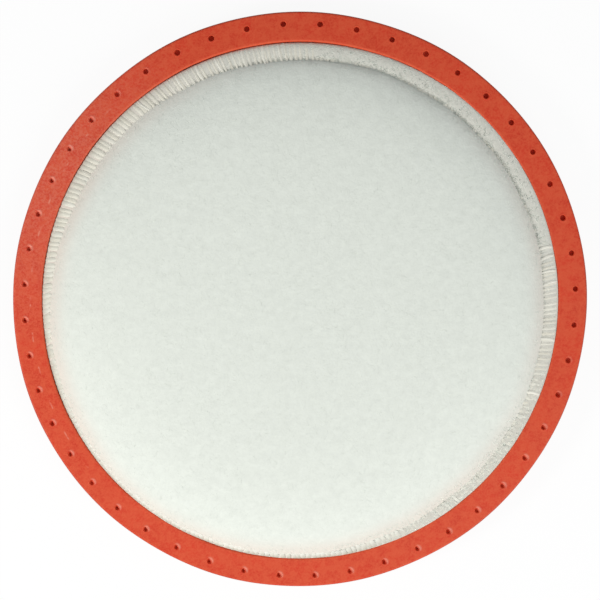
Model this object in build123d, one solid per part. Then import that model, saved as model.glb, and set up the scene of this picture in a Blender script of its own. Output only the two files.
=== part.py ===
from build123d import *
import os
from math import hypot, pi, tan

# Round vacuum pre-motor filter: a domed fleece pad whose edge is pressed down and oversewn with thread, held by
# that edge in the groove of a soft moulded ring. Sizes are in millimetres and angles in degrees. The origin is at
# the centre of the ring's underside, and +Z points out through the domed face.

# Seal ring, a C section that is open to the inside
ring_outer_diameter = 150.0
ring_face_width = 7.6
ring_web_thickness = 2.2
lower_lip_thickness = 2.6
groove_height = 2.0
upper_lip_thickness = 2.4
ring_edge_break = 0.5

# Pin marks that the mould leaves in the ring's upper face
pin_mark_count = 48
pin_mark_first_angle = 3.2
pin_mark_inset = 2.9
pin_mark_diameter = 1.4
pin_mark_sides = 12
pin_mark_floor = 0.9

# Fleece pad
pad_recess = 0.8
pad_edge_clearance = 0.3
crown_height = 4.6
crown_flat_diameter = 90.0

# Oversewn edge, a row of stitches side by side that slope up from the ring to the seam
sector_count = 18
stitches_per_sector = 17
stitch_height = 0.5
thread_thickness = 0.3
thread_clearance = 0.1
opening_gap = 0.4
foot_drop = 0.8
seam_rise = 0.6
seam_inset = 2.9

# Radii and heights that follow from the sizes above
ring_height = lower_lip_thickness + groove_height + upper_lip_thickness
ring_outer_radius = ring_outer_diameter / 2
opening_radius = ring_outer_radius - ring_face_width
groove_radius = ring_outer_radius - ring_web_thickness
groove_floor = lower_lip_thickness
groove_top = groove_floor + groove_height
pad_side_radius = opening_radius - opening_gap

# Radius and height of the stitches' crest at the foot, beside the ring, and at the seam
foot = (pad_side_radius, ring_height - foot_drop)
seam = (opening_radius - seam_inset, ring_height + seam_rise)


def below_crest(point, depth):
    """Point that lies a depth under the crest, square to the line from the foot to the seam."""
    run = foot[0] - seam[0]
    rise = seam[1] - foot[1]
    length = hypot(run, rise)
    return (point[0] - depth * rise / length, point[1] - depth * run / length)


def turned(shape, count, step):
    """Join copies of a shape, each turned about the Z axis by one more step."""
    copies = [Rot(0, 0, k * step) * shape for k in range(count)]
    return copies[0] + copies[1:]


def make_seal_ring():
    """C-section ring with broken edges and a circle of blind pin marks in its upper face."""
    section = Pos(ring_outer_radius - ring_face_width / 2, ring_height / 2) * Rectangle(ring_face_width, ring_height)
    section = chamfer(section.vertices(), ring_edge_break)
    groove_width = 2 * (groove_radius - opening_radius)
    section -= Pos(opening_radius, groove_floor + groove_height / 2) * Rectangle(groove_width, groove_height)
    ring = revolve(Plane.XZ * section, Axis.Z)
    mark_outline = RegularPolygon(pin_mark_diameter / 2, pin_mark_sides)
    mark = extrude(mark_outline, upper_lip_thickness - pin_mark_floor, both=True)
    mark = Pos(ring_outer_radius - pin_mark_inset, 0, ring_height) * mark
    step = 360 / pin_mark_count
    return ring - [Rot(0, 0, pin_mark_first_angle + k * step) * mark for k in range(pin_mark_count)]


def make_fleece_pad():
    """Pad with a flat underside, a pressed edge that fills the groove, a sloping rim and a domed face."""
    edge_radius = groove_radius - pad_edge_clearance
    bed_depth = stitch_height + thread_thickness + thread_clearance
    rim_foot = below_crest(foot, bed_depth)
    rim_seam = below_crest(seam, bed_depth)
    crown_edge = (crown_flat_diameter / 2, seam[1] + crown_height)
    outline = Polyline(
        crown_edge,
        (0, crown_edge[1]),
        (0, pad_recess),
        (pad_side_radius, pad_recess),
        (pad_side_radius, groove_floor),
        (edge_radius, groove_floor),
        (edge_radius, groove_top),
        (rim_foot[0], groove_top),
        rim_foot,
        rim_seam,
    )
    crown = TangentArc(crown_edge, rim_seam, tangent=(1, 0))
    return revolve(Plane.XZ * make_face(outline + crown), Axis.Z)


def stitch_section(crest):
    """Cut across one stitch: a V-shaped ridge on a thin base, as wide as the stitch pitch at its radius."""
    half_pitch = tan(pi / (sector_count * stitches_per_sector))
    valley = below_crest(crest, stitch_height)
    base = below_crest(crest, stitch_height + thread_thickness)
    corners = [
        (base[0], -base[0] * half_pitch, base[1]),
        (valley[0], -valley[0] * half_pitch, valley[1]),
        (crest[0], 0, crest[1]),
        (valley[0], valley[0] * half_pitch, valley[1]),
        (base[0], base[0] * half_pitch, base[1]),
    ]
    return make_face(Polyline(*corners, close=True))


def make_edge_stitching():
    """Ring of stitches over the pad's pressed edge, joined first into sectors and then all round."""
    stitch = loft([stitch_section(foot), stitch_section(seam)], ruled=True)
    sector_angle = 360 / sector_count
    sector = turned(stitch, stitches_per_sector, sector_angle / stitches_per_sector)
    return turned(sector, sector_count, sector_angle)


os.makedirs("parts", exist_ok=True)
export_step(make_seal_ring(), "parts/seal_ring.step")
export_step(make_fleece_pad(), "parts/fleece_pad.step")
export_step(make_edge_stitching(), "parts/edge_stitching.step")
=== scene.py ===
from math import cos, pi, radians, sin

import bmesh
import bpy
import numpy as np
from bpy.props import FloatProperty, FloatVectorProperty, IntProperty, PointerProperty
from mathutils import Matrix, Vector


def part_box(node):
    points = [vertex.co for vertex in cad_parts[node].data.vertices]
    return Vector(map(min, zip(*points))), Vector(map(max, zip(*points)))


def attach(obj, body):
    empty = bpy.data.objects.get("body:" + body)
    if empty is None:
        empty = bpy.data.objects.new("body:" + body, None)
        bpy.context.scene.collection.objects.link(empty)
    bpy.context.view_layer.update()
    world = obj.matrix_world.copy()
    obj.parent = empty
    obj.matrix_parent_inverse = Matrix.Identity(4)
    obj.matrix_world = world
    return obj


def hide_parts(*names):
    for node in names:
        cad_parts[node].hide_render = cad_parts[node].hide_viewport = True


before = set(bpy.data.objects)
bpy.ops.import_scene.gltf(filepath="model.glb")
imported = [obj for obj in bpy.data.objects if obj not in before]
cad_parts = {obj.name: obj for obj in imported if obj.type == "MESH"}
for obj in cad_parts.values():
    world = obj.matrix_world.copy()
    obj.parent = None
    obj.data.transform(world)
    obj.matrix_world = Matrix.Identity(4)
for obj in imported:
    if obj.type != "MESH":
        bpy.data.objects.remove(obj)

bl_info = {
    "name": "Fleece filter",
    "version": (1, 0, 0),
    "blender": (4, 5, 0),
    "location": "3D View > Sidebar > Filter",
    "description": "Builds a round fleece vacuum filter in a soft seal ring, on a plain studio floor",
    "category": "Add Mesh",
}

MM = 0.001
FOOT_INSET = 0.05 * MM


def node_points(name):
    """Vertices of a CAD node, one row of coordinates for each."""
    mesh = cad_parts[name].data
    points = np.empty(len(mesh.vertices) * 3)
    mesh.vertices.foreach_get("co", points)
    return points.reshape(-1, 3)


def node_radii(name):
    """Smallest and largest distance of a CAD node's vertices from the Z axis."""
    points = node_points(name)
    radii = np.hypot(points[:, 0], points[:, 1])
    return float(radii.min()), float(radii.max())


RING_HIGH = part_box("seal_ring")[1]
PAD_LOW, PAD_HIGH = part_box("fleece_pad")
SEAM_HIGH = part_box("edge_stitching")[1]
RING_INNER, RING_OUTER = node_radii("seal_ring")
SEAM_OUTER = node_radii("edge_stitching")[1]
PAD_OUTER = node_radii("fleece_pad")[1]


def length(name, description, default):
    """Float property that holds a length in metres."""
    return FloatProperty(name=name, description=description, default=default, unit="LENGTH", precision=5)


def number(name, description, default):
    """Float property that holds a plain number."""
    return FloatProperty(name=name, description=description, default=default)


def count(name, description, default):
    """Integer property that holds a number of things."""
    return IntProperty(name=name, description=description, default=default, min=1)


def angle(name, description, degrees):
    """Float property that holds an angle, given in degrees."""
    return FloatProperty(name=name, description=description, default=radians(degrees), subtype="ANGLE")


def colour(name, description, default):
    """Colour property, linear red, green and blue."""
    return FloatVectorProperty(name=name, description=description, default=default, subtype="COLOR", size=3,
                               min=0.0, max=1.0)


class FILTER_PG_ring(bpy.types.PropertyGroup):
    """Sizes and colours of the seal ring."""

    outer_radius: length("Outer radius", "Radius of the ring's outer wall", RING_OUTER)
    inner_radius: length("Inner radius", "Radius of the ring's opening", RING_INNER)
    height: length("Height", "Height of the ring", RING_HIGH.z)
    lower_lip: length("Lower lip", "Thickness of the lip under the groove", 2.6 * MM)
    upper_lip: length("Upper lip", "Thickness of the lip over the groove", 2.4 * MM)
    web: length("Web", "Thickness of the wall behind the groove", 2.2 * MM)
    outer_round: length("Outer rounding", "Radius of the outer edges", 0.55 * MM)
    inner_round: length("Inner rounding", "Radius of the inner edges", 0.5 * MM)
    oval: length("Oval", "How far the soft ring is out of round", 0.24 * MM)
    oval_angle: angle("Oval direction", "Direction of the ring's long axis", 69.0)
    mark_count: count("Pin marks", "Number of pin marks in the face", 48)
    mark_first: angle("First pin mark", "Angle of the first pin mark", 3.27)
    mark_inset: length("Pin mark inset", "Distance of the pin marks from the outer wall", 3.05 * MM)
    mark_radius: length("Pin mark radius", "Radius of one pin mark", 0.72 * MM)
    mark_depth: length("Pin mark depth", "Depth of one pin mark", 1.5 * MM)
    mark_slope: angle("Pin mark slope", "Direction in which the floors of the shallow pin marks rise", 35.0)
    # Painted highlight: a pale colour laid on the far side of each shallow pin mark, where its wall would
    # catch the light.
    painted_highlight: colour("Painted highlight", "Colour of the dust in the shallow pin marks", (0.90, 0.45, 0.35))
    rubber: colour("Rubber", "Colour of the rubber", (0.66, 0.0485, 0.0173))


class FILTER_PG_pad(bpy.types.PropertyGroup):
    """Sizes and colours of the fleece pad and its loose fibres."""

    top: length("Top", "Height of the middle of the pad's face", PAD_HIGH.z)
    underside: length("Underside", "Height of the pad's flat underside", PAD_LOW.z)
    edge_radius: length("Edge radius", "Radius of the pressed edge in the ring's groove", PAD_OUTER)
    foot_radius: length("Foot radius", "Radius of the pad inside the ring's opening", SEAM_OUTER)
    seam_radius: length("Seam radius", "Mean radius of the sewn seam", 64.5 * MM)
    seam_height: length("Seam height", "Height of the sewn rim at the seam", SEAM_HIGH.z)
    offset: length("Offset", "How far the pad sits off the ring's centre", 1.8 * MM)
    offset_angle: angle("Offset direction", "Direction in which the pad sits off centre", 240.0)
    oval: length("Oval", "How far the seam is out of round", 0.68 * MM)
    oval_angle: angle("Oval direction", "Direction of the seam's long axis", 225.0)
    face_fibres: count("Face fibres", "Number of loose fibres on the face", 6000)
    rim_fibres: count("Rim fibres", "Number of loose fibres on the rim", 6000)
    fleece: colour("Fleece", "Colour of the fleece", (0.795, 0.828, 0.765))
    sewn: colour("Sewn rim", "Colour of the fleece under the stitches", (0.64, 0.645, 0.575))
    # Painted light: a darker, redder tint at the fleece's edge that stands in for shade there and red light
    # bounced from the ring.
    painted_bounce: colour("Painted bounce", "Tint of the fleece beside the ring and the stitches", (0.80, 0.70, 0.615))


class FILTER_PG_thread(bpy.types.PropertyGroup):
    """Sizes and colours of the oversewn thread."""

    stitches: count("Stitches", "Number of stitches round the rim", 306)
    half_width: length("Half width", "Half the width of one stitch", 0.74 * MM)
    half_height: length("Half height", "Half the thickness of one stitch", 0.26 * MM)
    cream: colour("Cream", "Colour of the thread", (0.78, 0.745, 0.64))
    pale: colour("Pale", "Colour of the lightest threads", (0.92, 0.92, 0.85))


class FILTER_PG_stage(bpy.types.PropertyGroup):
    """Camera and lights."""

    distance: length("Distance", "Distance from the camera to the ring's face", 349.0 * MM)
    tilt: angle("Tilt", "Angle between the line of sight and the vertical", 5.1)
    heading: angle("Heading", "Direction in which the camera leans", 86.0)
    aim: FloatVectorProperty(name="Aim", description="Point at the middle of the picture", unit="LENGTH",
                             default=(0.16 * MM, 1.17 * MM, 7.0 * MM))
    lens: number("Lens", "Focal length in millimetres", 80.42)
    key_power: number("Key power", "Power of the small lamp at the left in watts", 1.22)
    front_power: number("Front power", "Power of the soft lamp at the front in watts", 1.66)
    sky: number("Sky", "Strength of the even light from all round", 0.32)


def closed_faces(rows, columns):
    """Quads of a grid whose rows close on themselves."""
    row = np.arange(rows - 1)[:, None]
    column = np.arange(columns)[None, :]
    corner = [(row, column), (row, column + 1), (row + 1, column + 1), (row + 1, column)]
    return np.stack([r * columns + c % columns for r, c in corner], -1).reshape(-1, 4)


def new_piece(name, points, faces, material):
    """Smooth mesh object from points and lists of faces, with doubles merged and normals outward."""
    mesh = bpy.data.meshes.new(name)
    mesh.from_pydata(points.reshape(-1, 3).tolist(), [], [f for group in faces for f in group.tolist()])
    work = bmesh.new()
    work.from_mesh(mesh)
    bmesh.ops.remove_doubles(work, verts=work.verts, dist=1e-6)
    bmesh.ops.recalc_face_normals(work, faces=work.faces)
    work.to_mesh(mesh)
    work.free()
    mesh.polygons.foreach_set("use_smooth", np.ones(len(mesh.polygons), bool))
    mesh.update()
    piece = bpy.data.objects.new(name, mesh)
    bpy.context.scene.collection.objects.link(piece)
    mesh.materials.append(material)
    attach(piece, "root")
    return piece


def unit(vectors):
    """Vectors scaled to length one."""
    return vectors / np.maximum(np.linalg.norm(vectors, axis=-1, keepdims=True), 1e-12)


def polar(radius, turn, height):
    """Points from radius, angle about the Z axis and height."""
    radius, turn, height = np.broadcast_arrays(radius, turn, height)
    return np.stack([radius * np.cos(turn), radius * np.sin(turn), height], -1)


def tubes(paths, reference, width, height, sides, taper, power=1.0):
    """Closed tubes along many paths at once.

    Each path point is moved along two directions square to the path, by width times the cosine and height
    times the sine of an angle that goes once round. The taper scales both along the path. A power of
    the sine over one makes the section bell-shaped.
    """
    tangent = unit(np.gradient(paths, axis=1))
    side = unit(reference - tangent * np.sum(tangent * reference, -1, keepdims=True))
    normal = np.cross(tangent, side)
    around = np.linspace(0, 2 * pi, sides, endpoint=False)
    rise = np.sign(np.sin(around)) * np.abs(np.sin(around)) ** power
    steps = paths.shape[1]
    width = (np.reshape(width, (-1, 1)) * np.array(taper))[..., None, None]
    height = (np.reshape(height, (-1, 1)) * np.array(taper))[..., None, None]
    points = paths[:, :, None] + width * side[:, :, None] * np.cos(around)[:, None]
    points = points + height * normal[:, :, None] * rise[:, None]
    quads = closed_faces(steps, sides)
    base = np.arange(len(paths))[:, None, None] * steps * sides
    walls = (base + quads).reshape(-1, 4)
    cap = np.arange(sides)
    caps = np.concatenate([base[:, 0] + cap, base[:, 0] + (steps - 1) * sides + cap])
    return points, [walls, caps]


def wave(turn, seed, orders, size):
    """Smooth random curve round the circle: a sum of sines of the given orders with random phases."""
    rng = np.random.default_rng(seed)
    phase = rng.uniform(0, 2 * pi, len(orders))
    weight = rng.uniform(0.5, 1.0, len(orders))
    total = sum(w * np.sin(k * turn + p) for k, w, p in zip(orders, weight, phase))
    return size * total / np.sqrt(np.sum(weight ** 2) / 2)


def window(turn, start, end, soft):
    """One between two angles in degrees and nought elsewhere, with soft ends that many degrees wide."""
    middle = radians((start + end) / 2)
    half = radians((end - start) / 2)
    off = np.abs((turn - middle + pi) % (2 * pi) - pi)
    return np.clip((half - off) / radians(soft) + 0.5, 0, 1)


def seam_radius(pad, turn):
    """Radius of the seam: the mean with an offset, an oval, soft steps at the left and front, and waves."""
    lean = pad.offset * np.cos(turn - pad.offset_angle)
    oval = pad.oval * np.cos(2 * (turn - pad.oval_angle))
    wide = (0.5 * window(turn, 150, 218, 30) - 0.4 * window(turn, 222, 272, 24)) * MM
    return pad.seam_radius + lean + oval - wide + wave(turn, 5, [7, 12, 19], 0.09 * MM)


def face_height(pad, share, turn):
    """Height of the domed face: the seam plus the crown times a rolled-edge curve, with soft hollows.

    The curve is one minus the sixth power of the share of the seam's radius. It is raised to a power of
    about two thirds where the edge rolls over, and nearly one on the left and along the front, where it
    slopes.
    """
    rolled = np.clip(1 - share ** 6, 0, 1) ** (0.66 + 0.26 * window(turn, 118, 348, 40))
    crown = pad.top - pad.seam_height
    base = pad.seam_height - 0.2 * MM
    broad = wave(turn, 11, [2, 3, 5], 0.10 * MM) * share ** 2
    fine = wave(turn, 12, [7, 12, 19], 0.05 * MM) * share ** 6
    swell = broad + fine
    return base + crown * rolled + swell * rolled


def ring_oval(ring, turn):
    """How far the ring's radius is off its mean: a double cosine along the long axis."""
    return ring.oval * np.cos(2 * (turn - ring.oval_angle))


def shallow_marks(turn):
    """How shallow a pin mark at an angle is: one from the upper left to the right, and nought elsewhere."""
    return window(turn, 128, 345, 30)


def foot_radius(pad, turn):
    """Radius of the rim's foot: close to the ring, and pressed over its edge on the right and the front."""
    pressed = 0.1 * window(turn, 205, 290, 20) + 0.26 * window(turn, 285, 425, 30)
    close = pad.foot_radius + (0.22 + pressed) * MM
    close = close + ring_oval(pad.id_data.filter_ring, turn)
    return np.maximum(seam_radius(pad, turn) + 0.2 * MM, close)


def rim_height(pad, share, turn):
    """Height of the sewn rim over the share of its width: a fall with the square, then a rounded foot."""
    deep = 0.85 - 0.6 * window(turn, 215, 425, 40)
    fall = 0.3 * share ** 2 + deep * (1 - np.sqrt(1 - np.clip(share, 0, 1) ** 5))
    return pad.seam_height - (0.2 + fall) * MM + wave(turn, 41, [17, 29, 53], 0.05 * MM)


def proud(turn):
    """How far the stitches stand out, as a share that is most at the upper left and least in the fuzz."""
    upper, left = window(turn, 128, 172, 16), window(turn, 172, 208, 16)
    top, right = window(turn, 86, 128, 8), window(turn, 345, 378, 14)
    front, lower_left = window(turn, 246, 290, 14), window(turn, 208, 246, 14)
    return 0.1 + 0.68 * upper + 0.42 * left + 0.34 * top + 0.22 * right + 0.34 * front + 0.24 * lower_left


def pad_height(pad, radius, turn):
    """Height of the pad's upper surface: the domed face inside the seam and the sewn rim outside it."""
    seam = seam_radius(pad, turn)
    face = face_height(pad, np.clip(radius / seam, 0, 1), turn)
    share = np.clip((radius - seam) / (foot_radius(pad, turn) - seam), 0, 0.97)
    return np.where(radius < seam, face, rim_height(pad, share, turn))


def node_graph(name):
    """New material with an empty node tree, and a function that adds a linked node."""
    material = bpy.data.materials.new(name)
    material.use_nodes = True
    tree = material.node_tree
    tree.nodes.clear()

    def add(kind, inputs=None, **settings):
        """Node of that kind with its settings, and each input set to a value or linked from a socket."""
        node = tree.nodes.new(kind)
        for key, value in settings.items():
            setattr(node, key, value)
        for key, value in (inputs or {}).items():
            if isinstance(value, bpy.types.NodeSocket):
                tree.links.new(value, node.inputs[key])
            else:
                node.inputs[key].default_value = value
        return node

    return material, add


def noise(add, place, scale, detail=3.0, rough=0.5):
    """Noise texture at a place, returned as its value socket."""
    inputs = {"Vector": place, "Scale": scale, "Detail": detail, "Roughness": rough}
    return add("ShaderNodeTexNoise", inputs).outputs["Fac"]


def spread(add, value, low, high, to_low=0.0, to_high=1.0):
    """Value mapped from one range to another and clamped."""
    inputs = {"Value": value, "From Min": low, "From Max": high, "To Min": to_low, "To Max": to_high}
    return add("ShaderNodeMapRange", inputs).outputs["Result"]


def mixed(add, share, first, second):
    """Colour between two colours or sockets."""
    node = add("ShaderNodeMix", data_type="RGBA")
    for index, value in ((0, share), (6, first), (7, second)):
        if isinstance(value, bpy.types.NodeSocket):
            node.id_data.links.new(value, node.inputs[index])
        elif index:
            node.inputs[index].default_value = (*value, 1.0)
        else:
            node.inputs[index].default_value = value
    return node.outputs[2]


def maths(add, operation, first, second=0.0):
    """Result of a math node on two values or sockets."""
    return add("ShaderNodeMath", {0: first, 1: second}, operation=operation).outputs[0]


def shades(tone, factor):
    """Colour made darker or lighter by a factor."""
    return tuple(min(1.0, c * factor) for c in tone)


def tinted(tone, red, green, blue):
    """Colour with each of its channels made darker or lighter by a factor of its own."""
    return tone[0] * red, tone[1] * green, tone[2] * blue


def rubber_material(ring):
    """Matte moulded rubber: mottling, grain, darker outer edge, scuffs, and painted highlights and a painted
    sheen.
    """
    material, add = node_graph("moulded_rubber")
    place = add("ShaderNodeTexCoord").outputs["Object"]
    tone = tuple(ring.rubber)
    cloud = spread(add, noise(add, place, 130.0, 4.0), 0.3, 0.7)
    patch = spread(add, noise(add, place, 640.0, 3.0, 0.6), 0.4, 0.6)
    speck = spread(add, noise(add, place, 2100.0, 2.0, 0.7), 0.4, 0.6)
    base = mixed(add, cloud, shades(tone, 0.9), shades(tone, 1.03))
    base = mixed(add, maths(add, "MULTIPLY", patch, 0.8), base, tinted(tone, 1.06, 1.8, 1.9))
    base = mixed(add, maths(add, "MULTIPLY", speck, 0.6), base, tinted(tone, 1.1, 2.1, 2.4))
    flat = add("ShaderNodeVectorMath", {0: place, 1: (1.0, 1.0, 0.0)}, operation="MULTIPLY").outputs[0]
    reach = add("ShaderNodeVectorMath", {0: flat}, operation="LENGTH").outputs["Value"]
    part = add("ShaderNodeSeparateXYZ", {0: place})
    turn = maths(add, "ARCTAN2", maths(add, "MULTIPLY", part.outputs["Y"], -1.0),
                 maths(add, "MULTIPLY", part.outputs["X"], -1.0))
    twice = maths(add, "MULTIPLY", maths(add, "SUBTRACT", turn, ring.oval_angle), 2.0)
    reach = maths(add, "SUBTRACT", reach, maths(add, "MULTIPLY", maths(add, "COSINE", twice), ring.oval))
    rim = spread(add, reach, ring.outer_radius - 0.4 * MM, ring.outer_radius - 0.1 * MM)
    base = mixed(add, maths(add, "MULTIPLY", rim, 0.5), base, tinted(tone, 0.45, 1.4, 2.4))
    # Painted highlight: the inner edge is made paler, as if its rounding caught the light.
    lip = spread(add, reach, ring.inner_radius + 0.65 * MM, ring.inner_radius + 0.25 * MM)
    base = mixed(add, maths(add, "MULTIPLY", lip, 0.28), base, tinted(tone, 1.25, 3.4, 4.0))
    # Painted sheen: a pale, speckled patch on the face at the left, standing in for a soft reflection of the
    # light.
    beside = maths(add, "ABSOLUTE", maths(add, "ADD", turn, radians(28.0)))
    sheen_side = spread(add, beside, 0.15, 0.65, 1.0, 0.0)
    painted_sheen = maths(add, "MULTIPLY", sheen_side, spread(add, speck, 0.0, 1.0, 0.02, 0.08))
    base = mixed(add, painted_sheen, base, (0.85, 0.72, 0.6))
    from_first = maths(add, "SUBTRACT", turn, ring.mark_first - pi)
    between = maths(add, "MULTIPLY", from_first, float(ring.mark_count))
    dash = spread(add, maths(add, "COSINE", between), -0.55, -0.8)
    off = maths(add, "ABSOLUTE", maths(add, "SUBTRACT", reach, ring.outer_radius - 4.7 * MM))
    line = spread(add, off, 0.08 * MM, 0.26 * MM, 1.0, 0.0)
    worn = spread(add, maths(add, "ABSOLUTE", maths(add, "ADD", turn, radians(5.0))), 0.55, 0.85, 1.0, 0.0)
    scuff = maths(add, "MULTIPLY", maths(add, "MULTIPLY", dash, line), maths(add, "MULTIPLY", worn, patch))
    base = mixed(add, maths(add, "MULTIPLY", scuff, 0.4), base, (0.85, 0.4, 0.3))
    # Painted highlight in the pin marks: the attribute mixes in a pale colour where the far wall would catch
    # the light.
    painted_highlight = add("ShaderNodeAttribute", attribute_name="painted_highlight").outputs["Fac"]
    base = mixed(add, painted_highlight, base, tuple(ring.painted_highlight))
    grain = noise(add, place, 2600.0, 2.0, 0.6)
    bump = add("ShaderNodeBump", {"Height": grain, "Strength": 0.18, "Distance": 0.00006}).outputs["Normal"]
    rough = spread(add, cloud, 0.0, 1.0, 0.52, 0.62)
    shader = add("ShaderNodeBsdfPrincipled", {"Base Color": base, "Roughness": rough, "Normal": bump,
                                              "Specular IOR Level": 0.25})
    add("ShaderNodeOutputMaterial", {"Surface": shader.outputs[0]})
    return material


def fleece_material(pad):
    """Fuzzy fleece from noise: cloudy tone, tufts, a mat of crossing fibres, and lint on the sewn rim."""
    material, add = node_graph("white_fleece")
    place = add("ShaderNodeTexCoord").outputs["Object"]
    tone = tuple(pad.fleece)
    strands = None
    for turn in (0.5, 1.55, 2.6):
        inputs = {"Vector": place, "Rotation": (0.0, 0.0, turn), "Scale": (1.0, 0.42, 1.0)}
        turned = add("ShaderNodeMapping", inputs, vector_type="TEXTURE").outputs["Vector"]
        layer = noise(add, turned, 380.0, 3.0, 0.6)
        strands = layer if strands is None else maths(add, "MAXIMUM", strands, layer)
    mat = spread(add, strands, 0.45, 0.8)
    cloud = spread(add, noise(add, place, 190.0, 2.0), 0.3, 0.7)
    tuft = spread(add, noise(add, place, 420.0, 3.0, 0.85), 0.32, 0.68)
    base = mixed(add, cloud, shades(tone, 0.955), shades(tone, 1.02))
    base = mixed(add, 0.75, base, mixed(add, tuft, shades(tone, 0.96), shades(tone, 1.07)))
    base = mixed(add, maths(add, "MULTIPLY", mat, 0.2), base, shades(tone, 1.06))
    sewn = add("ShaderNodeAttribute", attribute_name="sewn").outputs["Fac"]
    lint = spread(add, noise(add, place, 1100.0, 3.0, 0.7), 0.35, 0.65)
    base = mixed(add, sewn, base, mixed(add, lint, shades(pad.sewn, 0.86), shades(pad.sewn, 1.08)))
    # Painted shade and painted red bounce light from the ring, laid on the fleece's edge and the sewn rim.
    painted_bounce = add("ShaderNodeAttribute", attribute_name="painted_bounce").outputs["Fac"]
    base = mixed(add, painted_bounce, base, tuple(pad.painted_bounce))
    nap = maths(add, "ADD", maths(add, "MULTIPLY", mat, 0.3), maths(add, "MULTIPLY", tuft, 3.0))
    bump = add("ShaderNodeBump", {"Height": nap, "Strength": 0.15, "Distance": 0.00012}).outputs["Normal"]
    shader = add("ShaderNodeBsdfPrincipled", {"Base Color": base, "Roughness": 0.95, "Normal": bump,
                                              "Specular IOR Level": 0.1, "Sheen Weight": 0.15,
                                              "Sheen Roughness": 0.5})
    add("ShaderNodeOutputMaterial", {"Surface": shader.outputs[0]})
    return material


def thread_material(thread):
    """Spun sewing thread: fine strands and tone from noise, pale stitches, and a shade at their feet."""
    material, add = node_graph("sewing_thread")
    place = add("ShaderNodeTexCoord").outputs["Object"]
    tone = tuple(thread.cream)
    strand = spread(add, noise(add, place, 2200.0, 2.0), 0.35, 0.65)
    stitch = spread(add, noise(add, place, 330.0, 1.0), 0.3, 0.7)
    base = mixed(add, stitch, shades(tone, 0.93), shades(tone, 1.05))
    pale = add("ShaderNodeAttribute", attribute_name="pale").outputs["Fac"]
    base = mixed(add, pale, base, tuple(thread.pale))
    shade = add("ShaderNodeAttribute", attribute_name="shade").outputs["Fac"]
    base = mixed(add, maths(add, "MULTIPLY", shade, 0.85), base, (0.45, 0.42, 0.33))
    bump = add("ShaderNodeBump", {"Height": strand, "Strength": 0.3, "Distance": 0.0001}).outputs["Normal"]
    shader = add("ShaderNodeBsdfPrincipled", {"Base Color": base, "Roughness": 0.7, "Normal": bump,
                                              "Specular IOR Level": 0.25, "Sheen Weight": 0.2})
    add("ShaderNodeOutputMaterial", {"Surface": shader.outputs[0]})
    return material


def rounded_corner(centre, radius, start, end, steps=5):
    """Points on an arc in the section plane, from one angle to another in degrees."""
    turn = np.radians(np.linspace(start, end, steps))
    return np.stack([centre[0] + radius * np.cos(turn), centre[1] + radius * np.sin(turn)], -1)


def ring_section(ring, face_inner, face_outer):
    """Section of the ring from the face's outer edge, round the outside, underside and groove, and back."""
    a, b = ring.inner_round, ring.outer_round
    r0, r1, h = ring.inner_radius, ring.outer_radius, ring.height
    floor, top, back = ring.lower_lip, ring.height - ring.upper_lip, ring.outer_radius - ring.web
    lip = 0.2 * MM
    return np.concatenate([
        [(face_outer, h)],
        rounded_corner((r1 - b, h - b), b, 90, 0),
        np.stack([np.full(3, r1), np.linspace(h - b, b, 5)[1:-1]], -1),
        rounded_corner((r1 - b, b), b, 0, -90),
        np.stack([np.linspace(r1 - b, r0 + a, 7)[1:-1], np.zeros(5)], -1),
        rounded_corner((r0 + a, a), a, 270, 180),
        rounded_corner((r0 + lip, floor - lip), lip, 180, 90, 3),
        [(back - lip, floor), (back, floor + lip), (back, top - lip), (back - lip, top)],
        rounded_corner((r0 + lip, top + lip), lip, 270, 180, 3),
        rounded_corner((r0 + a, h - a), a, 180, 90, 6),
        [(face_inner, h)],
    ])


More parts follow.
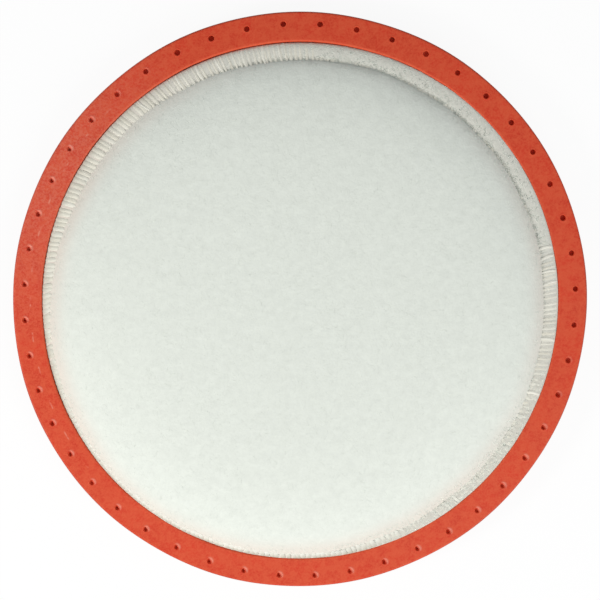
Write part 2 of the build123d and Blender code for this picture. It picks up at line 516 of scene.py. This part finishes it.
class FILTER_OT_ring(bpy.types.Operator):
    """Build the seal ring with its circle of pin marks"""

    bl_idname = "filter.ring"
    bl_label = "Seal ring"

    def execute(self, context):
        """Carry the section round the axis, and fill the face with one patch for each pin mark.

        A patch runs from a circle round its mark out to the edges of its sector, straight from each point
        of the circle to the matching point of the edge. Inside the circle the height follows the mark's
        profile.
        """
        ring = context.scene.filter_ring
        rng = np.random.default_rng(3)
        along, across = 12, 8
        marks = ring.mark_count
        face_inner, face_outer = ring.inner_radius + 0.95 * MM, ring.outer_radius - 0.75 * MM
        pitch = 2 * pi / marks
        columns = marks * along
        turns = ring.mark_first + (np.arange(columns) / along - 0.5) * pitch
        section = ring_section(ring, face_inner, face_outer)
        body = polar(section[:, None, 0], turns[None, :], section[:, None, 1])
        body_faces = closed_faces(*body.shape[:2])
        side = np.linspace(0, 1, along + 1)[:-1]
        rise = np.linspace(0, 1, across + 1)[:-1]
        edge_turn = np.concatenate([side, np.ones(across), 1 - side, np.zeros(across)]) - 0.5
        edge_rise = np.concatenate([np.zeros(along), rise, np.ones(along), 1 - rise])
        edge_radius = face_inner + (face_outer - face_inner) * edge_rise
        mark_radius = ring.outer_radius - ring.mark_inset
        x = edge_radius * np.cos(edge_turn * pitch) - mark_radius
        y = edge_radius * np.sin(edge_turn * pitch)
        out = np.arctan2(y, x)
        start = 1.5 * MM
        blend = np.linspace(0, 1, 7)[::-1][:-1]
        share = [1.0, 0.86, 0.74, 0.66, 0.60, 0.55, 0.51, 0.485, 0.47, 0.455, 0.43, 0.34, 0.18, 0.0]
        drop = [0.0, 0.0, 0.2, 0.75, 1.0, 0.8, 0.2, -1.5, -6.0, -16.0, -23.0, -25.0, -25.2, -25.3]
        share, drop = np.array(share), np.array(drop)
        mark_edge = 0.485
        deepest = -drop[-1]
        edge_x = blend[:, None] * x + (1 - blend[:, None]) * start * np.cos(out)
        edge_y = blend[:, None] * y + (1 - blend[:, None]) * start * np.sin(out)
        centre = (ring.mark_first + np.arange(marks) * pitch)[:, None, None]
        shallow = shallow_marks(centre)
        size = ring.mark_radius * rng.uniform(0.92, 1.08, (marks, 1, 1)) / (mark_edge * start)
        taper = 1 - 0.35 * np.clip(-drop / 25, 0, 1)[None, :, None] * shallow
        grow = (1 + (size - 1) * (1 - share[None, :, None] ** 2)) * taper
        mark_x = start * share[None, :, None] * grow * np.cos(out)
        mark_y = start * share[None, :, None] * grow * np.sin(out)
        lip = rng.uniform(0.02, 0.06, (marks, 1, 1)) * MM
        slope = np.cos(out + centre - ring.mark_slope) * np.clip(share[None, :, None] * 2.2, 0, 1)
        depth = ring.mark_depth / deepest * (1 - 0.5 * shallow * (1 + 0.75 * slope))
        depth = depth * rng.uniform(0.85, 1.05, (marks, 1, 1))
        mark_z = np.where(drop[None, :, None] > 0, lip, depth) * drop[None, :, None]
        ones = np.ones((marks, 1, 1))
        patch_x = np.concatenate([edge_x * ones, mark_x], 1) + mark_radius
        patch_y = np.concatenate([edge_y * ones, mark_y], 1)
        flat_z = np.zeros_like(edge_x) * ones
        patch_z = ring.height + np.concatenate([flat_z, mark_z * np.ones_like(out)], 1)
        patch = polar(np.hypot(patch_x, patch_y), np.arctan2(patch_y, patch_x) + centre, patch_z)
        rows, round_count = patch.shape[1:3]
        patch_faces = closed_faces(rows - 1, round_count)
        step = np.arange(round_count)
        fan = np.stack([step, (step + 1) % round_count, np.full(round_count, round_count)], -1)
        fan = (rows - 2) * round_count + fan
        base = len(section) * columns + np.arange(marks)[:, None, None] * rows * round_count
        points = np.concatenate([body.reshape(-1, 3), patch.reshape(-1, 3)])
        turn = np.arctan2(points[:, 1], points[:, 0])
        radius = np.hypot(points[:, 0], points[:, 1])
        points[:, 2] += wave(turn, 21, [2, 3, 5, 8], 0.05 * MM) * np.clip(points[:, 2] / ring.height, 0, 1)
        wider = wave(turn, 22, [3, 7, 13], 0.05 * MM) + ring_oval(ring, turn)
        points[:, :2] *= (1 + wider / radius)[:, None]
        faces = [body_faces, (base + patch_faces).reshape(-1, 4), (base + fan).reshape(-1, 3)]
        piece = new_piece("seal_ring_moulding", points, faces, rubber_material(ring))
        self.painted_highlight(piece, ring, mark_radius, pitch)
        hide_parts("seal_ring")
        return {"FINISHED"}

    def painted_highlight(self, piece, ring, mark_radius, pitch):
        """Amount of painted highlight at each vertex: most on the side of a shallow pin mark where its floor
        rises.
        """
        places = np.empty(len(piece.data.vertices) * 3)
        piece.data.vertices.foreach_get("co", places)
        x, y, z = places.reshape(-1, 3).T
        centre = ring.mark_first + pitch * np.round((np.arctan2(y, x) - ring.mark_first) / pitch)
        reach = mark_radius + ring_oval(ring, centre)
        off_x, off_y = x - reach * np.cos(centre), y - reach * np.sin(centre)
        toward = (off_x * cos(ring.mark_slope) + off_y * sin(ring.mark_slope)) / ring.mark_radius
        near = np.clip((1.7 - np.hypot(off_x, off_y) / ring.mark_radius) / 0.6, 0, 1)
        amount = np.clip(1.3 * toward, 0, 1) * near * (z > ring.height / 2) * shallow_marks(centre)
        values = piece.data.attributes.new("painted_highlight", "FLOAT", "POINT")
        values.data.foreach_set("value", 0.36 * amount)


class FILTER_OT_pad(bpy.types.Operator):
    """Build the fleece pad with its domed face and sewn rim"""

    bl_idname = "filter.pad"
    bl_label = "Fleece pad"

    def execute(self, context):
        """One closed surface over the angle and a profile, from the middle of the face to the underside's.

        The face is the domed height over shares of the seam radius. From the seam the profile dips into a
        crease, follows the rim under the stitches to the foot, runs out into the groove and comes back along
        the underside.
        """
        pad, ring = context.scene.filter_pad, context.scene.filter_ring
        columns = 720
        turn = np.linspace(0, 2 * pi, columns, endpoint=False)[None, :]
        share = (1 - (1 - np.linspace(0, 1, 90)) ** 1.7)[1:, None]
        seam = seam_radius(pad, turn)
        face = polar(share * seam, turn, face_height(pad, share, turn))
        foot = foot_radius(pad, turn)
        across = np.array([0.06, 0.14, 0.25, 0.4, 0.55, 0.7, 0.8, 0.88, 0.94, 0.98, 1.0])[:, None]
        sharp = 0.05 + 0.55 * window(turn, 15, 122, 30)
        crease = 0.28 * MM * np.exp(-(across / 0.16) ** 2) * sharp
        fuzzy = window(turn, 14, 84, 12) + window(turn, 288, 342, 20)
        lumps = np.random.default_rng(13).normal(0, 0.032 * MM, (len(across), columns))
        lumps = lumps * fuzzy * (1 - across ** 4)
        rim = polar(seam + (foot - seam) * across, turn, rim_height(pad, across, turn) - crease + lumps)
        groove_floor, groove_top = ring.lower_lip, ring.height - ring.upper_lip
        foot = np.minimum(foot, ring.inner_radius - 0.05 * MM + ring_oval(ring, turn))
        lower = [
            (ring.inner_radius + ring_oval(ring, turn), groove_top + 1.3 * MM),
            (foot, groove_top + 1.0 * MM),
            (foot, groove_top + 0.3 * MM),
            (foot + 0.3 * MM, groove_top),
            (pad.edge_radius - 0.3 * MM, groove_top),
            (pad.edge_radius, groove_top - 0.4 * MM),
            (pad.edge_radius, groove_floor + 0.4 * MM),
            (pad.edge_radius - 0.3 * MM, groove_floor),
            (foot + 0.2 * MM, groove_floor),
            (foot, groove_floor - 0.3 * MM),
            (foot - 0.05 * MM, pad.underside + 0.8 * MM),
            (foot - 0.35 * MM, pad.underside + 0.25 * MM),
            (foot - 1.0 * MM, pad.underside),
        ]
        lower = np.concatenate([polar(r, turn, z) for r, z in lower])
        inward = np.linspace(0.96, 0.03, 14)[:, None]
        hollow = (wave(turn, 31, [3, 5, 8], 0.08 * MM) - 0.1 * MM) * np.sin(pi * inward) ** 2
        below = polar(inward * foot, turn, pad.underside - hollow)
        grid = np.concatenate([face, rim, lower, below])
        rows = len(grid)
        walls = closed_faces(rows, columns)
        poles = np.array([[0, 0, face[0, :, 2].mean()], [0, 0, below[-1, :, 2].mean()]])
        edge = np.arange(columns)
        top = np.stack([np.full(columns, rows * columns), edge, (edge + 1) % columns], -1)
        last = (rows - 1) * columns
        pole = np.full(columns, rows * columns + 1)
        bottom = np.stack([pole, last + (edge + 1) % columns, last + edge], -1)
        points = np.concatenate([grid.reshape(-1, 3), poles])
        finish = fleece_material(pad)
        piece = new_piece("fleece_pad_body", points, [walls, top, bottom], finish)
        # Painted shade and red bounce light: within a few millimetres inside the seam and over the rim, most
        # at the left and front.
        inside = np.exp(-((1 - share) * seam / (3.0 * MM)) ** 2) * np.maximum(
            window(turn, 125, 335, 50), 0.6 * window(turn, 330, 395, 40))
        on_rim = np.zeros((rows, columns))
        on_rim[len(face):len(face) + len(rim) + 3] = 1.0
        painted_bounce = on_rim * (0.25 + 0.6 * window(turn, 130, 275, 50))
        painted_bounce[:len(face)] = 0.7 * inside
        for name, amount in (("sewn", on_rim * (0.55 + 0.45 * window(turn, 275, 362, 20))), ("painted_bounce", painted_bounce)):
            values = piece.data.attributes.new(name, "FLOAT", "POINT")
            values.data.foreach_set("value", np.concatenate([amount.ravel(), [0.0, 0.0]]))
        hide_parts("fleece_pad")
        return {"FINISHED"}


class FILTER_OT_stitches(bpy.types.Operator):
    """Build the oversewn thread round the rim"""

    bl_idname = "filter.stitches"
    bl_label = "Oversewn stitches"

    def execute(self, context):
        """One flattened tube for each stitch, from the gap beside the ring over the rim to the seam.

        The path is the pad's own surface, sunk a little, and more where fuzz hides the stitches. It dives
        into the gap at the foot, and thins out over the fleece at the seam. A few loose threads are made the
        same way.
        """
        pad, thread = context.scene.filter_pad, context.scene.filter_thread
        rng = np.random.default_rng(7)
        many = thread.stitches
        turn = 2 * pi * (np.arange(many) + rng.uniform(-0.13, 0.13, many)) / many
        turn = turn[:, None]
        across = np.array([[1.0, 0.97, 0.86, 0.6, 0.34, 0.12, -0.02, -0.12]])
        drop = np.array([[0.7, 0.08, 0.02, 0.02, 0.02, 0.02, 0.05, 0.2]]) * MM
        taper = [0.7, 1.0, 1.0, 1.0, 1.0, 0.9, 0.7, 0.35]
        sides = 10
        bell_power = 3.0
        climb = np.array([[0, 0, 0, 0, 0, 0, 0.02, 0.15]]) * MM * window(turn, 128, 300, 20)
        hidden = rng.uniform(0.06, 0.3, (many, 1)) * MM * window(turn, 14, 84, 10)
        at = turn + radians(0.45) * across + rng.normal(0, radians(0.1), (many, 1))
        reach = self.reach(pad, across, at)
        paths = polar(reach, at, pad_height(pad, reach, at) - drop + climb - hidden)
        side = polar(np.ones_like(turn), turn + pi / 2, 0.0)
        narrow = window(turn[:, 0], 84, 126, 8) + window(turn[:, 0], 335, 378, 14)
        width = thread.half_width * rng.uniform(0.85, 1.1, many) * (1 - 0.42 * narrow)
        depth = thread.half_height * proud(turn[:, 0]) * rng.uniform(0.8, 1.15, many)
        points, faces = tubes(paths, side, width, depth, sides, taper, bell_power)
        pale = rng.uniform(0.0, 0.35, many) + 0.3 * window(turn[:, 0], 205, 300, 20)
        pale = np.repeat(pale, points[0].size // 3)
        low = np.clip((across - 0.2) / 0.7, 0, 1)[:, :, None] * np.ones((1, 1, points.shape[2]))
        gloom = 0.4 * window(turn, 118, 300, 16) + 0.6 * window(turn, 180, 296, 20)
        shade = (low * gloom[:, :, None]).ravel()
        loose = np.radians([4.5, 7.5, 10.5, 13, 94, 98, 102.5, 108, 113, 118, 127.5, 339, 352])[:, None]
        at = loose + np.radians(rng.normal(0.2, 0.35, (len(loose), 1)) * across + 0.25 * np.sin(3 * across))
        reach = self.reach(pad, across, at)
        paths = polar(reach, at, pad_height(pad, reach, at) + 0.04 * MM - drop)
        side = polar(np.ones_like(loose), loose + pi / 2, 0.0)
        width = rng.uniform(0.3, 0.45, len(loose)) * MM
        more, more_faces = tubes(paths, side, width, 0.36 * width, sides, taper, bell_power)
        pale = np.concatenate([pale, np.full(more.size // 3, 0.4)])
        shade = np.concatenate([shade, np.zeros(more.size // 3)])
        start = points.size // 3
        points = np.concatenate([points.reshape(-1, 3), more.reshape(-1, 3)])
        faces = faces + [group + start for group in more_faces]
        piece = new_piece("oversewn_thread", points, faces, thread_material(thread))
        for name, amount in (("pale", pale), ("shade", shade)):
            values = piece.data.attributes.new(name, "FLOAT", "POINT")
            values.data.foreach_set("value", amount)
        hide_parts("edge_stitching")
        return {"FINISHED"}

    def reach(self, pad, across, turn):
        """Radius at a share of a stitch's length: from the foot to the seam, or past it on a narrow rim."""
        shortest = 1.3 * MM
        foot = foot_radius(pad, turn) - FOOT_INSET
        span = np.maximum(foot - seam_radius(pad, turn), shortest)
        return foot - span * (1 - across)


class FILTER_OT_fibres(bpy.types.Operator):
    """Scatter loose fibres over the pad's face and rim"""

    bl_idname = "filter.fibres"
    bl_label = "Loose fibres"

    def execute(self, context):
        """Thin three-sided tubes, each a short bent line that lies on the face or on the rim.

        A fibre's plan is a line whose heading turns a little along its length. Its height is the pad's own,
        with the middle lifted and the ends let into the surface.
        """
        pad = context.scene.filter_pad
        rng = np.random.default_rng(17)
        finish = fleece_material(pad)
        many = pad.face_fibres
        turn = rng.uniform(0, 2 * pi, (many, 1))
        reach = np.sqrt(rng.uniform(0.0, 0.97, (many, 1))) * seam_radius(pad, turn)
        self.scatter(pad, rng, "face_fibres", reach, turn, (1.0, 3.2), (0.024, 0.04), 0.009, finish)
        many = pad.rim_fibres
        turn = rng.uniform(0, 2 * pi, (many * 2, 1))
        fuzzy = window(turn[:, 0], 10, 90, 20) + window(turn[:, 0], 280, 342, 20)
        keep = rng.uniform(0, 1, many * 2) < 0.2 + 0.65 * fuzzy
        turn = turn[keep][:many]
        seam, foot = seam_radius(pad, turn), foot_radius(pad, turn)
        spread_out = rng.uniform(0, 1, turn.shape)
        reach = seam - 1.6 * MM + (foot - seam + 1.5 * MM) * spread_out
        self.scatter(pad, rng, "rim_fibres", reach, turn, (0.7, 2.2), (0.022, 0.045), 0.02, finish)
        return {"FINISHED"}

    def scatter(self, pad, rng, name, reach, turn, spans, thicks, lift, finish):
        """One piece of fibres at given radii and angles, with length, thickness and lift in millimetres."""
        many = len(turn)
        along = np.linspace(-0.5, 0.5, 5)[None, :]
        heading = rng.uniform(0, 2 * pi, (many, 1))
        span = rng.uniform(*spans, (many, 1)) * MM
        bend = rng.normal(0, 0.9, (many, 1))
        x = reach * np.cos(turn) + span * along * np.cos(heading + bend * along)
        y = reach * np.sin(turn) + span * along * np.sin(heading + bend * along)
        at, radius = np.arctan2(y, x), np.hypot(x, y)
        radius = np.minimum(radius, foot_radius(pad, at) - FOOT_INSET)
        rise = rng.uniform(-0.3, 1.0, (many, 1)) * lift * (1 - (2 * along) ** 2) - 0.03 * (2 * along) ** 2
        paths = polar(radius, at, pad_height(pad, radius, at) + rise * MM)
        thick = rng.uniform(*thicks, many) * MM
        sides = 3
        taper = [0.4, 1.0, 1.0, 1.0, 0.4]
        points, faces = tubes(paths, np.array([0.0, 0.0, 1.0]), thick, thick, sides, taper)
        return new_piece(name, points, faces, finish)


class FILTER_OT_stage(bpy.types.Operator):
    """Build the floor, the lights and the camera"""

    bl_idname = "filter.stage"
    bl_label = "Stage"

    def execute(self, context):
        """White floor, pale sky, a small lamp at the left, a soft one in front, and the camera overhead."""
        stage = context.scene.filter_stage
        scene = context.scene
        scene.view_settings.view_transform = "Standard"
        half = 6.0
        floor_glow = 0.92
        mesh = bpy.data.meshes.new("floor")
        corners = [(-half, -half, 0), (half, -half, 0), (half, half, 0), (-half, half, 0)]
        mesh.from_pydata(corners, [], [(0, 1, 2, 3)])
        floor = bpy.data.objects.new("floor", mesh)
        scene.collection.objects.link(floor)
        floor.location.z = -0.0002
        material, add = node_graph("white_floor")
        matt = add("ShaderNodeBsdfDiffuse", {"Color": (0.95, 0.95, 0.95, 1.0)}).outputs[0]
        glow = add("ShaderNodeEmission", {"Color": (1.0, 1.0, 1.0, 1.0), "Strength": 1.0}).outputs[0]
        rays = add("ShaderNodeLightPath").outputs
        seen = maths(add, "MAXIMUM", rays["Is Glossy Ray"], rays["Is Transmission Ray"])
        seen = maths(add, "MULTIPLY", maths(add, "MAXIMUM", seen, rays["Is Camera Ray"]), floor_glow)
        shader = add("ShaderNodeMixShader", {0: seen, 1: matt, 2: glow})
        add("ShaderNodeOutputMaterial", {"Surface": shader.outputs[0]})
        mesh.materials.append(material)
        world = bpy.data.worlds.new("studio")
        world.use_nodes = True
        scene.world = world
        back = world.node_tree.nodes["Background"]
        back.inputs["Color"].default_value = (0.95, 1.0, 1.02, 1.0)
        back.inputs["Strength"].default_value = stage.sky
        self.lamp(scene, "key_lamp", (-0.38, -0.14, 0.27), 0.12, stage.key_power, (1.0, 0.98, 0.955))
        self.lamp(scene, "front_lamp", (0.26, -0.31, 0.32), 0.4, stage.front_power, (1.0, 0.99, 0.98))
        flat = sin(stage.tilt)
        lean = Vector((flat * cos(stage.heading), flat * sin(stage.heading), cos(stage.tilt)))
        place = Vector((0, 0, stage.aim[2])) + lean * stage.distance
        ahead = (Vector(stage.aim) - place).normalized()
        upward = (Vector((0, 1, 0)) - ahead * ahead.y).normalized()
        right = ahead.cross(upward)
        turned = Matrix((right, upward, -ahead)).transposed().to_4x4()
        camera = bpy.data.objects.new("camera", bpy.data.cameras.new("camera"))
        camera.data.sensor_width = 36.0
        camera.data.lens = stage.lens
        camera.data.clip_start, camera.data.clip_end = 0.01, 50.0
        camera.matrix_world = Matrix.Translation(place) @ turned
        scene.collection.objects.link(camera)
        scene.camera = camera
        return {"FINISHED"}

    def lamp(self, scene, name, place, size, power, tint):
        """Square area lamp at a place, turned to the middle of the filter."""
        light = bpy.data.lights.new(name, "AREA")
        light.shape = "SQUARE"
        light.size = size
        light.energy = power
        light.color = tint
        lamp = bpy.data.objects.new(name, light)
        lamp.location = place
        lamp.rotation_mode = "QUATERNION"
        lamp.rotation_quaternion = Vector(place).to_track_quat("Z", "Y")
        scene.collection.objects.link(lamp)


class FILTER_PT_panel(bpy.types.Panel):
    """Panel in the 3D view's sidebar"""

    bl_idname = "FILTER_PT_panel"
    bl_label = "Fleece filter"
    bl_space_type = "VIEW_3D"
    bl_region_type = "UI"
    bl_category = "Filter"

    def draw(self, context):
        """Show each group of settings over the buttons that use it."""
        scene = context.scene
        for group, operators in LAYOUT:
            box = self.layout.box()
            settings = getattr(scene, group)
            for name in settings.__annotations__:
                box.prop(settings, name)
            for operator in operators:
                box.operator(operator)


GROUPS = {
    "filter_ring": FILTER_PG_ring,
    "filter_pad": FILTER_PG_pad,
    "filter_thread": FILTER_PG_thread,
    "filter_stage": FILTER_PG_stage,
}
LAYOUT = [
    ("filter_ring", ["filter.ring"]),
    ("filter_pad", ["filter.pad", "filter.fibres"]),
    ("filter_thread", ["filter.stitches"]),
    ("filter_stage", ["filter.stage"]),
]
OPERATORS = [FILTER_OT_ring, FILTER_OT_pad, FILTER_OT_stitches, FILTER_OT_fibres, FILTER_OT_stage]


def register():
    """Register the settings, the operators and the panel."""
    for name, group in GROUPS.items():
        bpy.utils.register_class(group)
        setattr(bpy.types.Scene, name, PointerProperty(type=group))
    for item in OPERATORS:
        bpy.utils.register_class(item)
    bpy.utils.register_class(FILTER_PT_panel)


def unregister():
    """Remove what register added."""
    bpy.utils.unregister_class(FILTER_PT_panel)
    for item in reversed(OPERATORS):
        bpy.utils.unregister_class(item)
    for name, group in GROUPS.items():
        delattr(bpy.types.Scene, name)
        bpy.utils.unregister_class(group)


def main():
    """Build every piece and the stage in order."""
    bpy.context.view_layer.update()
    register()
    bpy.ops.filter.ring()
    bpy.ops.filter.pad()
    bpy.ops.filter.stitches()
    bpy.ops.filter.fibres()
    bpy.ops.filter.stage()


if __name__ == "__main__":
    main()
